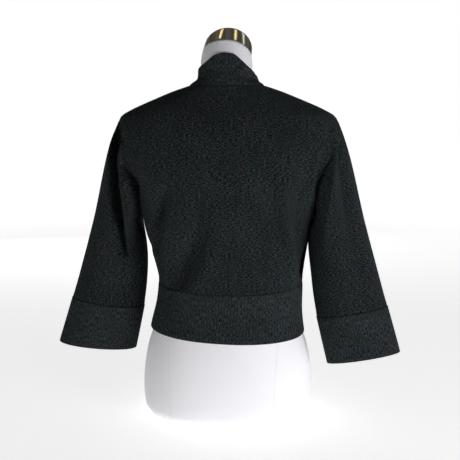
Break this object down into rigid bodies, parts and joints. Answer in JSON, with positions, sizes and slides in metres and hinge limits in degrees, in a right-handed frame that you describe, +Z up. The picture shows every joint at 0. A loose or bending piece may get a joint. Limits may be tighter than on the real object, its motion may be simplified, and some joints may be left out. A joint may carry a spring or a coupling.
{
  "type": "cardigan on a dress form",
  "caption": "Cropped open-front cardigan in fine knit with ribbed collar, front bands, hem and wide sleeve cuffs, resting on a smooth limbless dress form with a metal neck cap.",
  "frame": {"origin": "centre of the dress form's flat underside", "axes": "+Z up, the garment's front faces -Y, the wearer's left is +X"},
  "size_m": [0.693, 0.2576, 0.7451],
  "materials": {
    "knit": "matt fine knit, charcoal heather",
    "rib": "matt ribbed knit, charcoal heather",
    "form_cover": "smooth white jersey cover",
    "cap_metal": "polished warm grey metal"
  },
  "bodies": {
    "root": {"back": "knit", "front_left": "knit", "front_right": "knit", "sleeve_left": "knit", "sleeve_right": "knit", "cuff_left": "rib", "cuff_right": "rib", "hem_band": "rib", "collar_band": "rib", "form_torso": "form_cover", "form_neck_cap": "cap_metal"}
  },
  "joints": []
}
